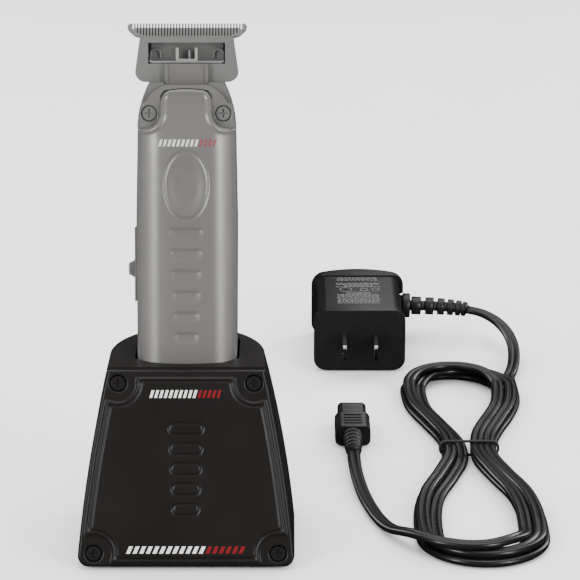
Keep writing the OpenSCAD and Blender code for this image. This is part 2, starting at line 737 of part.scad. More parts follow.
module contact_board() color([0.05, 0.3, 0.16]) docked() difference() {
    union() {
        slab([-11, 11], [-10.5, 6], [-11.4, -9.9]);
        for (x = [-9.6, 9.6]) translate([x, 4, -9.9]) cylinder(r = 1.2, h = 8);
    }
    for (s = [-1, 1]) translate([s * contact_x, contact_y, -12]) cylinder(r = 1.1, h = 5);
}

inlet_back_y = round_y + 37.2;
module stand_inlet() color([0.09, 0.09, 0.09])
    translate([0, inlet_back_y, inlet_z]) rotate([90, 0, 0]) inlet_block();
module stand_inlet_pins() color([0.85, 0.7, 0.3])
    translate([0, inlet_back_y, inlet_z]) rotate([90, 0, 0]) inlet_pin_pair();

module ballast_weight() color([0.4, 0.4, 0.42])
    slab([-20, 20], [round_y - 16, round_y + 16], [base_top_z + fit, base_top_z + 3.6]);

// ---------- Adapter ----------

module flat_adapter() translate([adapter_x, adapter_y, adapter_base_z]) children();

// Rounded block from a to b along y, w wide and t thick, corners r
module adapter_block(a, b, w, t, r) translate([0, b, adapter_t / 2]) rotate([90, 0, 0])
    linear_extrude(b - a) rounded_square(w, t, r);

flange_l = 4;
cap_l = 9;
hollow = [adapter_w - 0.8 - 2 * shell_wall, adapter_t - 0.8 - 2 * shell_wall];
module adapter_body() color([0.13, 0.13, 0.135]) flat_adapter() difference() {
    adapter_block(flange_l + fit, adapter_l - cap_l - fit, adapter_w - 0.8, adapter_t - 0.8, 4);
    adapter_block(flange_l - 1, adapter_l, hollow[0], hollow[1], 2);
    translate([0, adapter_l - cap_l - 5.6, adapter_t - 1.2]) linear_extrude(2) pill(9.6, 1.3);
    translate([adapter_w / 2 - 6, relief_y, adapter_t / 2]) rotate([0, 90, 0]) cylinder(r = 4.2, h = 10);
}

module adapter_cap() color([0.11, 0.11, 0.115]) flat_adapter() difference() {
    intersection() {
        adapter_block(adapter_l - cap_l, adapter_l, adapter_w + 3, adapter_t, 4.6);
        translate([0, adapter_l - arch_r(), -1]) cylinder(r = arch_r(), h = adapter_t + 2, $fn = 120);
    }
    adapter_block(adapter_l - cap_l - 1, adapter_l - 4, hollow[0], hollow[1], 2);
    translate([adapter_w / 2 - 6, relief_y, adapter_t / 2]) rotate([0, 90, 0]) cylinder(r = 4.2, h = 10);
    translate([adapter_w / 2, relief_y, adapter_t / 2]) rotate([0, 90, 0])
        cylinder(r = relief_flange[0] + fit, h = 10);
}
function arch_r() = let (c = adapter_w / 2 + 1.5, s = 7.4) (c * c + s * s) / (2 * s);

module adapter_prong_plate() color([0.1, 0.1, 0.105]) flat_adapter() difference() {
    union() {
        adapter_block(0, flange_l, adapter_w + 1.6, adapter_t, 5);
        adapter_block(flange_l - 0.5, flange_l + 3, adapter_w - 5, adapter_t - 5, 2);
    }
    for (s = [-1, 1]) slab([s * prong_gap / 2 - 0.8, s * prong_gap / 2 + 0.8], [-1, 20],
        [adapter_t / 2 - 3.23, adapter_t / 2 + 3.23]);
}

module adapter_prongs() color([0.8, 0.8, 0.78]) flat_adapter() for (s = [-1, 1]) difference() {
    slab([s * prong_gap / 2 - prong_size[0] / 2, s * prong_gap / 2 + prong_size[0] / 2],
        [-prong_size[1], 10], [adapter_t / 2 - prong_size[2] / 2, adapter_t / 2 + prong_size[2] / 2]);
    translate([s * prong_gap / 2 - 2, -prong_size[1] + 3.6, adapter_t / 2]) rotate([0, 90, 0])
        cylinder(r = 1.6, h = 4);
    for (k = [-1, 1]) translate([s * prong_gap / 2, -prong_size[1], adapter_t / 2 + k * prong_size[2] / 2])
        rotate([45, 0, 0]) cube([4, 1.6, 1.6], center = true);
}

module adapter_board() color([0.05, 0.35, 0.18]) flat_adapter()
    slab([-13, 13], [12, 46], [5, 6.4]);
module adapter_transformer() color([0.75, 0.6, 0.2]) flat_adapter() difference() {
    slab([-10, 6], [17, 33], [6.45, 20]);
    slab([-7, 3], [16, 20], [8, 18]);
}
module adapter_capacitor() color([0.1, 0.1, 0.3]) flat_adapter()
    translate([9.4, 39.6, 6.45]) cylinder(r = 3.4, h = 12);

// Tapered, slotted sleeve: length l, radii from a to b, with n slots, along +z
module relief_sleeve(l, a, b, n) difference() {
    cylinder(r1 = a, r2 = b, h = l);
    for (i = [0:n - 1]) translate([0, 0, 3 + i * (l - 4) / n]) difference() {
        cylinder(r = a + 2, h = (l - 4) / n * 0.42);
        translate([0, 0, -1]) cylinder(r = b * 0.62, h = l);
        rotate(90 * (i % 2)) translate([-20, -1.1, -1]) cube([40, 2.2, l]);
    }
}

module adapter_strain_relief() color([0.1, 0.1, 0.105]) {
    root = [adapter_x + adapter_w / 2 + fit, adapter_y + relief_y, adapter_t / 2];
    start = root + [relief_flange[1], 0, 0];
    reach = adapter_route[0] - start;
    translate(root - [3.25, 0, 0]) rotate([0, 90, 0]) cylinder(r = 4.1, h = 4);
    translate(root) rotate([0, 90, 0]) cylinder(r = relief_flange[0], h = relief_flange[1]);
    translate(start - [0.4, 0, 0]) rotate([0, 0, atan2(reach[1], reach[0])])
        rotate([0, 90 - asin(reach[2] / norm(reach)), 0])
            relief_sleeve(norm(reach) + 0.2, relief_r[0], relief_r[1], 6);
}

// ---------- Lead and connector ----------

module lead_adapter_run() color([0.06, 0.06, 0.06]) sweep(adapter_route, lead_w, lead_t);
module lead_connector_run() color([0.06, 0.06, 0.06]) sweep(connector_route, lead_w, lead_t);

module lead_hank() color([0.05, 0.05, 0.05]) difference() {
    linear_extrude(hank_h) hank_bundle();
    translate([0, tie_y - 2.6, -1]) cube([200, 5.2, 20]);
}
// Long outline with round ends, one end narrower
module hank_outline_half(s) translate([hank_x, s > 0 ? hank_y[1] - hank_half + 2 : hank_y[0] + hank_half])
    circle(s > 0 ? hank_half - 2 : hank_half);
module hank_bundle() {
    hank_outline_half(1);
    hank_outline_half(-1);
    translate([hank_x - hank_half + 2, hank_y[0] + hank_half])
        square([2 * hank_half - 4, hank_y[1] - hank_y[0] - 2 * hank_half + 2]);
}

module hank_tie() color([0.04, 0.04, 0.04]) translate([hank_x, tie_y + 2.5, hank_h / 2]) rotate([90, 0, 0])
    linear_extrude(5) rounded_square(2 * hank_half - 4, hank_h, 3);

module connector_strain_relief() color([0.07, 0.07, 0.07])
    translate([connector_x, connector_y[1], connector_z]) rotate([90, 0, 0])
        relief_sleeve(connector_y[1] - connector_y[0], 4, 3.2, 4);

module connector_body() color([0.08, 0.08, 0.08]) difference() {
    union() {
        translate([connector_x, connector_y[3], connector_z]) rotate([90, 0, 0])
            linear_extrude(connector_y[3] - connector_y[2]) rounded_square(11.2, 7.4, 2);
        translate([connector_x, connector_y[2], connector_z]) rotate([90, 0, 0])
            linear_extrude(connector_y[2] - connector_y[1]) rounded_square(13.6, 8, 2.4);
    }
    for (s = [-1, 1])
        translate([connector_x + s * pole_gap / 2, connector_y[3] + 1, connector_z]) rotate([90, 0, 0])
            cylinder(r = 1.1, h = 10);
    for (i = [0:3]) translate([connector_x - 3.4, connector_y[1] + 3 + 2.8 * i, 2 * connector_z - 0.4])
        cube([6.8, 1.2, 2]);
}

module connector_contacts() color([0.85, 0.7, 0.3]) for (s = [-1, 1])
    translate([connector_x + s * pole_gap / 2, connector_y[3] - 1.2, connector_z]) rotate([90, 0, 0])
    difference() {
        cylinder(r = 1.1, h = 7);
        translate([0, 0, -1]) cylinder(r = 0.82, h = 7);
    }

front_cover();
rear_cover();
end_cap();
end_cap_screws();
chassis();
chassis_screws();
neck_cover();
blade_frame();
fixed_blade();
blade_screws();
tension_spring();
moving_blade();
drive_block();
eccentric_cam();
motor_shaft();
motor_can();
motor_bracket();
battery_cell();
battery_tabs();
circuit_board();
charge_contacts();
switch_plate();
switch_slider();
clipper_inlet();
clipper_inlet_pins();
stand_housing();
stand_front_plate();
front_plate_screws();
stand_base_plate();
base_plate_screws();
rubber_feet();
socket_liner();
contact_pin_left();
contact_pin_right();
contact_spring_left();
contact_spring_right();
contact_board();
stand_inlet();
stand_inlet_pins();
ballast_weight();
adapter_body();
adapter_cap();
adapter_prong_plate();
adapter_prongs();
adapter_board();
adapter_transformer();
adapter_capacitor();
adapter_strain_relief();
lead_adapter_run();
lead_hank();
hank_tie();
lead_connector_run();
connector_strain_relief();
connector_body();
connector_contacts();
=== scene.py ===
import json
import math

import bmesh
import bpy
from mathutils import Matrix, Vector
from mathutils.kdtree import KDTree


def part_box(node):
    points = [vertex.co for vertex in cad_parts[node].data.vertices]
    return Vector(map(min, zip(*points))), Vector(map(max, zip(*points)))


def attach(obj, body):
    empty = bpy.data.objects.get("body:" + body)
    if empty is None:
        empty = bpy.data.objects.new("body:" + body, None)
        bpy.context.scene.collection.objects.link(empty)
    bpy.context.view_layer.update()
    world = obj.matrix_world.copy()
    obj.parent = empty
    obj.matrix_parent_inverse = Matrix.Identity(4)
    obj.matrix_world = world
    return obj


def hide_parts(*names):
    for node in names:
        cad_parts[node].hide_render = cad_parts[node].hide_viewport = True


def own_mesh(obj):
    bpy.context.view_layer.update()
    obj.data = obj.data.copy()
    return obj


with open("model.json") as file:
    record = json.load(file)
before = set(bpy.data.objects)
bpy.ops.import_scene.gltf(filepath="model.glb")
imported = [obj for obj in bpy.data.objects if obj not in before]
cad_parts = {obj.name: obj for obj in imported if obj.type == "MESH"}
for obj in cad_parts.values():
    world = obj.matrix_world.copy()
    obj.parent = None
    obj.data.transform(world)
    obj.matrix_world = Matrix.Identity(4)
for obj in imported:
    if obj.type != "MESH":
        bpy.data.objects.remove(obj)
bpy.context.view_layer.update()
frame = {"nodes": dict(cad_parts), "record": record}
MM = 0.001

# ---------------------------------------------------------------- facts of the part
DOCK_LEAN = math.radians(14)
FACE_LEAN = math.radians(20)
STAND_FRONT = Vector((0, -38, 0)) * MM
DOCK_FOOT = Vector((0, -2.1, 32.5)) * MM

LEAD_W = 5.0 * MM
LEAD_T = 2.6 * MM
ADAPTER_ROUTE = [
    (111, 198, 12), (115.7, 195.3, 11.4), (119.9, 191.7, 10.3), (123.4, 187.2, 8.8),
    (126.1, 181.9, 7.1), (127.9, 176, 5.4), (128.7, 169.8, 3.9), (128.6, 163.6, 2.8),
    (127.9, 157.4, 2), (126.7, 151.2, 1.5), (125, 145, 1.3), (125.2, 137, 1.3),
]
CONNECTOR_ROUTE = [
    (60, 61, 3.4), (60, 55, 3.2), (60.2, 48, 2.7), (60.8, 40, 2), (61.8, 32, 1.5),
    (63.2, 23, 1.3), (65.2, 13, 1.3), (67.8, 3, 1.3), (71, -6, 1.5), (75, -14, 2.4),
    (80, -21, 4.2), (86, -27, 6),
]


def local_frame(origin, lean):
    """Matrix of a frame that leans back by that angle: x across, z up its length."""
    return Matrix.Translation(origin) @ Matrix.Rotation(-lean, 4, "X")


CLIPPER = local_frame(DOCK_FOOT, DOCK_LEAN)
FACE = local_frame(STAND_FRONT, FACE_LEAN)


# ---------------------------------------------------------------- camera
def make_camera():
    """A long lens straight in front of the stand, looking 19 degrees down."""
    elevation = math.radians(19)
    distance = 0.95
    view_width = 0.2013889          # metres that the picture spans at the stand
    target = Vector((0.0359, 0.0, 0.0890))
    back = Vector((0, -math.cos(elevation), math.sin(elevation)))
    data = bpy.data.cameras.new("camera")
    data.sensor_width = 36
    data.lens = distance * data.sensor_width / view_width
    camera = bpy.data.objects.new("camera", data)
    camera.location = target + back * distance
    camera.rotation_euler = (math.pi / 2 - elevation, 0, 0)
    bpy.context.scene.collection.objects.link(camera)
    bpy.context.scene.camera = camera


make_camera()


# ---------------------------------------------------------------- mesh helpers
def new_object(name, bm, smooth=True):
    bmesh.ops.recalc_face_normals(bm, faces=bm.faces[:])
    mesh = bpy.data.meshes.new(name)
    bm.to_mesh(mesh)
    bm.free()
    for polygon in mesh.polygons:
        polygon.use_smooth = smooth
    obj = bpy.data.objects.new(name, mesh)
    bpy.context.scene.collection.objects.link(obj)
    return obj


def catmull(points, step):
    """Points about step apart along the smooth curve through the given ones."""
    points = [Vector(p) for p in points]
    padded = [points[0] * 2 - points[1], *points, points[-1] * 2 - points[-2]]
    out = []
    for i in range(1, len(padded) - 2):
        a, b, c, d = padded[i - 1:i + 3]
        count = max(1, round((c - b).length / step))
        for k in range(count):
            t = k / count
            out.append(0.5 * (2 * b + (c - a) * t + (2 * a - 5 * b + 4 * c - d) * t * t
                              + (3 * b - a - 3 * c + d) * t ** 3))
    return out + [points[-1]]


def sweep(name, path, section, side_of, closed=False):
    """Carry a closed section, given as (across, up) points, along a path."""
    bm = bmesh.new()
    rings = []
    count = len(path)
    for i, centre in enumerate(path):
        ahead = path[(i + 1) % count] if closed else path[min(i + 1, count - 1)]
        behind = path[(i - 1) % count] if closed else path[max(i - 1, 0)]
        along = (ahead - behind).normalized()
        side = side_of(i, along)
        up = side.cross(along).normalized()
        rings.append([bm.verts.new(centre + side * a + up * b) for a, b in section])
    around = len(section)
    for i in range(count if closed else count - 1):
        lower, upper = rings[i], rings[(i + 1) % count]
        for k in range(around):
            bm.faces.new((lower[k], lower[(k + 1) % around], upper[(k + 1) % around], upper[k]))
    if not closed:
        bm.faces.new(rings[0][::-1])
        bm.faces.new(rings[-1])
    return new_object(name, bm)


def level_side(_, along):
    """Across the path and level, so that a flat lead lies on its flat side."""
    return Vector((along.y, -along.x, 0)).normalized()


def circle_section(radius, count=12):
    return [(radius * math.cos(2 * math.pi * k / count), radius * math.sin(2 * math.pi * k / count))
            for k in range(count)]


def twin_section(width, thickness):
    """Outline of a flat twin lead: two round cores with a groove between them."""
    half_count, reach = 13, 148     # points on each core, and degrees to each side of its outer point
    radius = thickness / 2
    offset = width / 2 - radius
    out = []
    for side in (1, -1):
        for k in range(half_count):
            angle = math.radians(reach * (2 * k / (half_count - 1) - 1))
            out.append((side * (offset + radius * math.cos(angle)), side * radius * math.sin(angle)))
    return out


# ---------------------------------------------------------------- the lead
HANK_X = 104.0
TIE_Y = 65.0
TIE_REACH = 58.0                # how far from the tie a run is pinched
TURNS = [                       # offset at the ends and at the tie, y of the low and the high bend
    (21.3, 7.9, -13.2, 129.2),
    (16.0, 2.7, -13.6, 129.0),
    (20.3, 7.2, -12.2, 127.9),
    (15.0, 2.6, -11.8, 127.2),
]
HANK_TAIL = [(118.2, -18), (115.4, -23.2), (110.8, -27.6), (105, -30.6), (98.6, -31.4), (92.2, -30)]
LAID_STEP = 1.6                 # millimetres between the points that follow the lead
CROSSING_RADIUS = 14.0          # how sharply it rides over itself
BESIDE = 4.6                    # stretches closer than this, seen from above, may lie on each other
NEXT_POINTS = 10                # points of the same stretch, which can't lie on each other
SETTLE_ROUNDS = 7


def smooth_step(t):
    t = min(1.0, max(0.0, t))
    return t * t * (3 - 2 * t)


def straight_run(side, turn, start, stop):
    """Points of one run, from one end of the hank to the other, pinched at the tie."""
    wide, narrow = TURNS[turn][:2]
    out = []
    for k in range(9):
        y = start + (stop - start) * k / 8
        offset = narrow + (wide - narrow) * smooth_step(abs(y - TIE_Y) / TIE_REACH)
        out.append((HANK_X + side * offset, y))
    return out


def end_bend(x_from, x_to, y_from, y_to, way):
    """Half a turn at one end of the hank, without its two end points; way is 1 at the far end."""
    radius = abs(x_to - x_from) / 2
    middle = (x_from + x_to) / 2
    out = []
    for k in range(1, 8):
        angle = math.pi * k / 8
        out.append((middle + (x_from - middle) * math.cos(angle),
                    y_from + (y_to - y_from) * k / 8 + way * radius * math.sin(angle)))
    return out


def hank_route():
    """Down the right side and up the left one, three turns and a half."""
    out = []
    for i, (wide, _, low_y, high_y) in enumerate(TURNS):
        out += straight_run(1, i, 118.0 if i == 0 else high_y, low_y)
        if i == len(TURNS) - 1:
            return out + HANK_TAIL
        out += end_bend(HANK_X + wide, HANK_X - wide, low_y, low_y, -1)
        out += straight_run(-1, i, low_y, high_y)
        next_wide, _, _, next_y = TURNS[i + 1]
        out += end_bend(HANK_X - wide, HANK_X + next_wide, high_y, next_y, 1)


def gap_over(apart):
    """Height of one flat lead's middle over another's that runs that far beside it."""
    slack = 2.0
    return math.sqrt(max(0.0, LEAD_T ** 2 - max(0.0, apart - slack * MM) ** 2))


def humps(heights):
    """The given heights joined by low humps with no sharp bend in them."""
    flat_top, half_length, count = 5.0, 20.0, len(heights)
    reach = int(half_length / LAID_STEP)
    drop = [max(0.0, k * LAID_STEP - flat_top) ** 2 / (2 * CROSSING_RADIUS) * MM for k in range(reach)]
    lifted = [max(heights[j] - drop[abs(i - j)]
                  for j in range(max(0, i - reach + 1), min(count, i + reach)))
              for i in range(count)]
    for _ in range(2):
        lifted = [sum(lifted[i - w:i + w + 1]) / (2 * w + 1)
                  for i in range(count) for w in [min(2, i, count - 1 - i)]]
    return lifted


def settle(path):
    """Lay each stretch of the path on the floor or on the stretches laid before it."""
    nearby = KDTree(len(path))
    for i, point in enumerate(path):
        nearby.insert((point.x, point.y, 0), i)
    nearby.balance()
    below = []
    for i, point in enumerate(path):
        found = nearby.find_range((point.x, point.y, 0), BESIDE * MM)
        below.append([(j, gap_over(apart)) for _, j, apart in found if j < i - NEXT_POINTS])
    heights = [point.z for point in path]
    for _ in range(SETTLE_ROUNDS):
        heights = humps([max([point.z] + [heights[j] + gap for j, gap in under])
                         for point, under in zip(path, below)])
    return [Vector((point.x, point.y, z)) for point, z in zip(path, heights)]


def lead_path():
    """The middle line of the whole lead, from the adapter's relief to the connector's."""
    hank = [(x, y, LEAD_T / 2 / MM) for x, y in hank_route()]
    points = [Vector(p) * MM for p in ADAPTER_ROUTE + hank + CONNECTOR_ROUTE[::-1]]
    return settle(catmull(points, LAID_STEP * MM))


def make_lead():
    path = lead_path()
    lead = sweep("lead", path, twin_section(LEAD_W, LEAD_T), level_side)
    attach(lead, "stand")
    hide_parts("lead_adapter_run", "lead_hank", "lead_connector_run")
    return dress(lead, "lead_black"), path


# ---------------------------------------------------------------- materials
def socket(node, *names):
    """The first input of those names that this version of the node has."""
    for name in names:
        if name in node.inputs:
            return node.inputs[name]
    raise KeyError(names)


def surface(name, color, rough, metal=0.0, coat=0.0, grain=0.0, grain_scale=900.0,
            rough_vary=0.06, tone_vary=0.06, brushed=None, speckle=0.0, specular=0.5):
    """A moulded, painted or metal surface: a base colour that drifts a little, roughness that
    varies in soft patches, and a fine grain or brushed lines in the bump."""
    material = bpy.data.materials.new(name)
    material.use_nodes = True
    tree = material.node_tree
    nodes, links = tree.nodes, tree.links
    shader = nodes["Principled BSDF"]
    socket(shader, "Metallic").default_value = metal
    socket(shader, "Specular IOR Level", "Specular").default_value = specular
    socket(shader, "Coat Weight").default_value = coat
    socket(shader, "Coat Roughness").default_value = 0.12
    place = nodes.new("ShaderNodeTexCoord")

    patches = nodes.new("ShaderNodeTexNoise")
    patches.inputs["Scale"].default_value = 55
    patches.inputs["Detail"].default_value = 5
    links.new(place.outputs["Object"], patches.inputs["Vector"])
    rough_map = nodes.new("ShaderNodeMapRange")
    rough_map.inputs["From Min"].default_value = 0.3
    rough_map.inputs["From Max"].default_value = 0.7
    rough_map.inputs["To Min"].default_value = max(0.02, rough - rough_vary)
    rough_map.inputs["To Max"].default_value = rough + rough_vary
    links.new(patches.outputs["Fac"], rough_map.inputs["Value"])
    links.new(rough_map.outputs["Result"], shader.inputs["Roughness"])

    tone = nodes.new("ShaderNodeTexNoise")
    tone.inputs["Scale"].default_value = 400 if speckle else 24
    tone.inputs["Detail"].default_value = 6
    links.new(place.outputs["Object"], tone.inputs["Vector"])
    ramp = nodes.new("ShaderNodeValToRGB")
    spread = max(speckle, tone_vary)
    ramp.color_ramp.elements[0].position = 0.35
    ramp.color_ramp.elements[1].position = 0.65
    ramp.color_ramp.elements[0].color = (*[c * (1 - spread) for c in color], 1)
    ramp.color_ramp.elements[1].color = (*[min(1, c * (1 + spread)) for c in color], 1)
    links.new(tone.outputs["Fac"], ramp.inputs["Fac"])
    links.new(ramp.outputs["Color"], shader.inputs["Base Color"])

    if grain or brushed:
        fine = nodes.new("ShaderNodeTexNoise")
        fine.inputs["Detail"].default_value = 3
        if brushed:
            stretch = nodes.new("ShaderNodeMapping")
            stretch.inputs["Scale"].default_value = brushed
            links.new(place.outputs["Object"], stretch.inputs["Vector"])
            links.new(stretch.outputs["Vector"], fine.inputs["Vector"])
            fine.inputs["Scale"].default_value = 1
        else:
            links.new(place.outputs["Object"], fine.inputs["Vector"])
            fine.inputs["Scale"].default_value = grain_scale
        bump = nodes.new("ShaderNodeBump")
        bump.inputs["Strength"].default_value = grain or 0.12
        bump.inputs["Distance"].default_value = 0.04 * MM
        links.new(fine.outputs["Fac"], bump.inputs["Height"])
        links.new(bump.outputs["Normal"], shader.inputs["Normal"])
    return material


MATERIALS = {
    "satin_grey": surface("satin_grey", (0.185, 0.181, 0.175), 0.38, metal=0.55, grain=0.08,
                          grain_scale=1500, tone_vary=0.03, rough_vary=0.04),
    "dark_metal": surface("dark_metal", (0.172, 0.17, 0.166), 0.4, metal=0.45, grain=0.12,
                          grain_scale=1400),
    "blade_steel": surface("blade_steel", (0.19, 0.188, 0.183), 0.36, metal=0.35,
                           brushed=(2600, 60, 60)),
    "bright_steel": surface("bright_steel", (0.24, 0.238, 0.234), 0.4, metal=0.5, rough_vary=0.05,
                            grain=0.04),
    "stand_black": surface("stand_black", (0.0078, 0.0067, 0.006), 0.38, grain=0.06,
                           grain_scale=1100, rough_vary=0.03, specular=0.35),
    "matt_black": surface("matt_black", (0.017, 0.017, 0.0165), 0.55, grain=0.3, grain_scale=1300),
    "lead_black": surface("lead_black", (0.006, 0.006, 0.0064), 0.3, grain=0.05,
                          grain_scale=700, rough_vary=0.04),
    "relief_black": surface("relief_black", (0.009, 0.009, 0.0094), 0.42, grain=0.15, grain_scale=900),
    "adapter_black": surface("adapter_black", (0.009, 0.009, 0.0098), 0.26, coat=0.25, grain=0.05,
                             grain_scale=1000, rough_vary=0.03),
    "foot_rubber": surface("foot_rubber", (0.02, 0.02, 0.02), 0.75, grain=0.4, grain_scale=1500),
    "contact_gold": surface("contact_gold", (0.80, 0.58, 0.20), 0.25, metal=1.0),
    "prong_metal": surface("prong_metal", (0.60, 0.59, 0.56), 0.24, metal=1.0, brushed=(80, 2200, 80)),
    "yoke_white": surface("yoke_white", (0.2, 0.198, 0.19), 0.45, grain=0.1),
    "cell_wrap": surface("cell_wrap", (0.03, 0.10, 0.30), 0.3, coat=0.3),
    "board_green": surface("board_green", (0.01, 0.10, 0.04), 0.35, coat=0.2, speckle=0.25),
    "winding": surface("winding", (0.50, 0.33, 0.06), 0.5, grain=0.3),
    "ballast_iron": surface("ballast_iron", (0.12, 0.12, 0.125), 0.6, metal=0.8, grain=0.5),
    "mark_white": surface("mark_white", (0.6, 0.59, 0.57), 0.45, tone_vary=0.02),
    "mark_red": surface("mark_red", (0.14, 0.002, 0.004), 0.45, tone_vary=0.04, specular=0.2),
    "pale_white": surface("pale_white", (0.45, 0.445, 0.43), 0.45, tone_vary=0.02),
    "pale_red": surface("pale_red", (0.17, 0.045, 0.05), 0.45, tone_vary=0.04, specular=0.2),
    "label_ink": surface("label_ink", (0.15, 0.15, 0.147), 0.5, tone_vary=0.03),
}


def dress(obj, slot_name, material=None):
    """Give a piece its one material: the one of that slot's name, or the one given."""
    obj.data.materials.clear()
    obj.data.materials.append(MATERIALS[material or slot_name])
    return obj


# ---------------------------------------------------------------- carried-over CAD nodes
REMADE = {                      # CAD nodes that a fuller piece of this file replaces
    "stand_front_plate", "front_cover", "adapter_strain_relief", "connector_strain_relief",
    "lead_adapter_run", "lead_hank", "lead_connector_run", "hank_tie", "contact_spring_left",
    "contact_spring_right",
}
NO_ROUNDING = REMADE | {"tension_spring"}
USUAL_ROUNDING = 0.12           # millimetres
EDGE_ROUNDING = {               # where it isn't the usual one
    "stand_housing": 0.7, "rear_cover": 0.6, "chassis": 0.35, "end_cap": 0.4, "blade_frame": 0.35,
    "adapter_body": 0.5, "adapter_cap": 1.1, "adapter_prong_plate": 0.9, "connector_body": 0.5,
    "neck_cover": 0.2, "fixed_blade": 0.06, "moving_blade": 0.06, "switch_slider": 0.15,
    "switch_plate": 0.2, "socket_liner": 0.4, "adapter_prongs": 0.18, "rubber_feet": 0.3,
    "ballast_weight": 0.3,
}


def soften(obj, width):
    """Round the sharp edges of a mesh and keep its flat faces flat."""
    weld = obj.modifiers.new("weld", "WELD")
    weld.merge_threshold = 0.002 * MM
    if width:
        bevel = obj.modifiers.new("bevel", "BEVEL")
        bevel.width = width * MM
        bevel.segments = 2
        bevel.limit_method = "ANGLE"
        bevel.angle_limit = math.radians(32)
        bevel.miter_outer = "MITER_ARC"
        bevel.use_clamp_overlap = True
        bevel.harden_normals = False
    normals = obj.modifiers.new("normals", "WEIGHTED_NORMAL")
    normals.keep_sharp = False
    normals.weight = 60


def finish_cad_nodes():
    """Give each CAD node the material of its slot, smooth shading and softened edges."""
    slots = {s["node"]: s["material_slot"] for s in frame["record"]["subparts"]}
    for name, obj in frame["nodes"].items():
        material = MATERIALS[slots[name]]
        for index in range(max(1, len(obj.data.materials))):
            if index < len(obj.data.materials):
                obj.data.materials[index] = material
            else:
                obj.data.materials.append(material)
        for polygon in obj.data.polygons:
            polygon.use_smooth = True
        if name not in NO_ROUNDING:
            soften(obj, EDGE_ROUNDING.get(name, USUAL_ROUNDING))


# ---------------------------------------------------------------- floor and light
def make_stage():
    """A pale floor under an even white sky."""
    bm = bmesh.new()
    bmesh.ops.create_grid(bm, x_segments=2, y_segments=2, size=6)
    floor = new_object("floor", bm)
    floor.location.z = -0.5 * MM
    floor.data.materials.append(surface("floor_paper", (0.93, 0.93, 0.93), 0.9, tone_vary=0.01,
                                        specular=0.1))
    floor.visible_glossy = False
    world = bpy.data.worlds.new("world")
    world.use_nodes = True
    background = world.node_tree.nodes["Background"]
    background.inputs["Color"].default_value = (1, 1, 1, 1)
    background.inputs["Strength"].default_value = 1.45
    world.cycles_visibility.glossy = False
    bpy.context.scene.world = world


def area_light(name, place, aim, size, power, shape_ratio=1.0):
    data = bpy.data.lights.new(name, "AREA")
    data.shape = "RECTANGLE"
    data.size, data.size_y = size, size * shape_ratio
    data.energy = power
    light = bpy.data.objects.new(name, data)
    light.location = place
    light.rotation_euler = (Vector(aim) - Vector(place)).to_track_quat("-Z", "Y").to_euler()
    bpy.context.scene.collection.objects.link(light)
    return light


def make_lights():
    """Two tall strips beside the camera for the long highlights, a big light overhead, one low
    behind that the adapter's top mirrors, and two behind for the outlines."""
    grip = (0, 0, 0.11)
    area_light("strip_left", (-0.62, -0.62, 0.42), grip, 0.16, 5, 3.2)
    area_light("strip_right", (0.66, -0.62, 0.42), grip, 0.16, 5, 3.2)
    area_light("back_low", (0.42, 1.35, 0.6), (0.1, 0.1, 0), 0.7, 0.7, 0.4)
    area_light("overhead", (0.08, 0.30, 1.0), (0.06, 0.07, 0), 1.2, 10)
    area_light("rear_left", (-0.7, 0.7, 0.5), grip, 0.3, 5, 2)
    area_light("rear_right", (0.8, 0.7, 0.5), grip, 0.3, 5, 2)


# ---------------------------------------------------------------- moulded fronts
def soft_max(a, b, blend):
    """The larger of two numbers, joined by a curve where they are within blend of each other."""
    overlap = max(0.0, blend - abs(a - b)) / blend
    return max(a, b) + overlap * overlap * blend / 4


def soft_min(a, b, blend):
    return -soft_max(-a, -b, blend)


def bump(apart, half_width):
    """1 at 0, falling smoothly to 0 at half_width."""
    t = abs(apart) / half_width
    return 0.0 if t >= 1 else (1 - t * t) ** 2


def round_corner(a, b, radius):
    """Distance in from a round corner, given the distances in from its two edges."""
    if a < radius and b < radius:
        return radius - math.hypot(radius - a, radius - b)
    return min(a, b)


def roll(distance, radius):
    """How far a surface has turned down at that distance in from an edge of that radius."""
    t = max(0.0, radius - distance)
    return radius - math.sqrt(max(0.0, radius * radius - t * t))


def pill_distance(x, z, width, height):
    """Signed distance from the outline of a pill, negative inside."""
    return math.hypot(max(0.0, abs(x) - (width - height) / 2), z) - height / 2


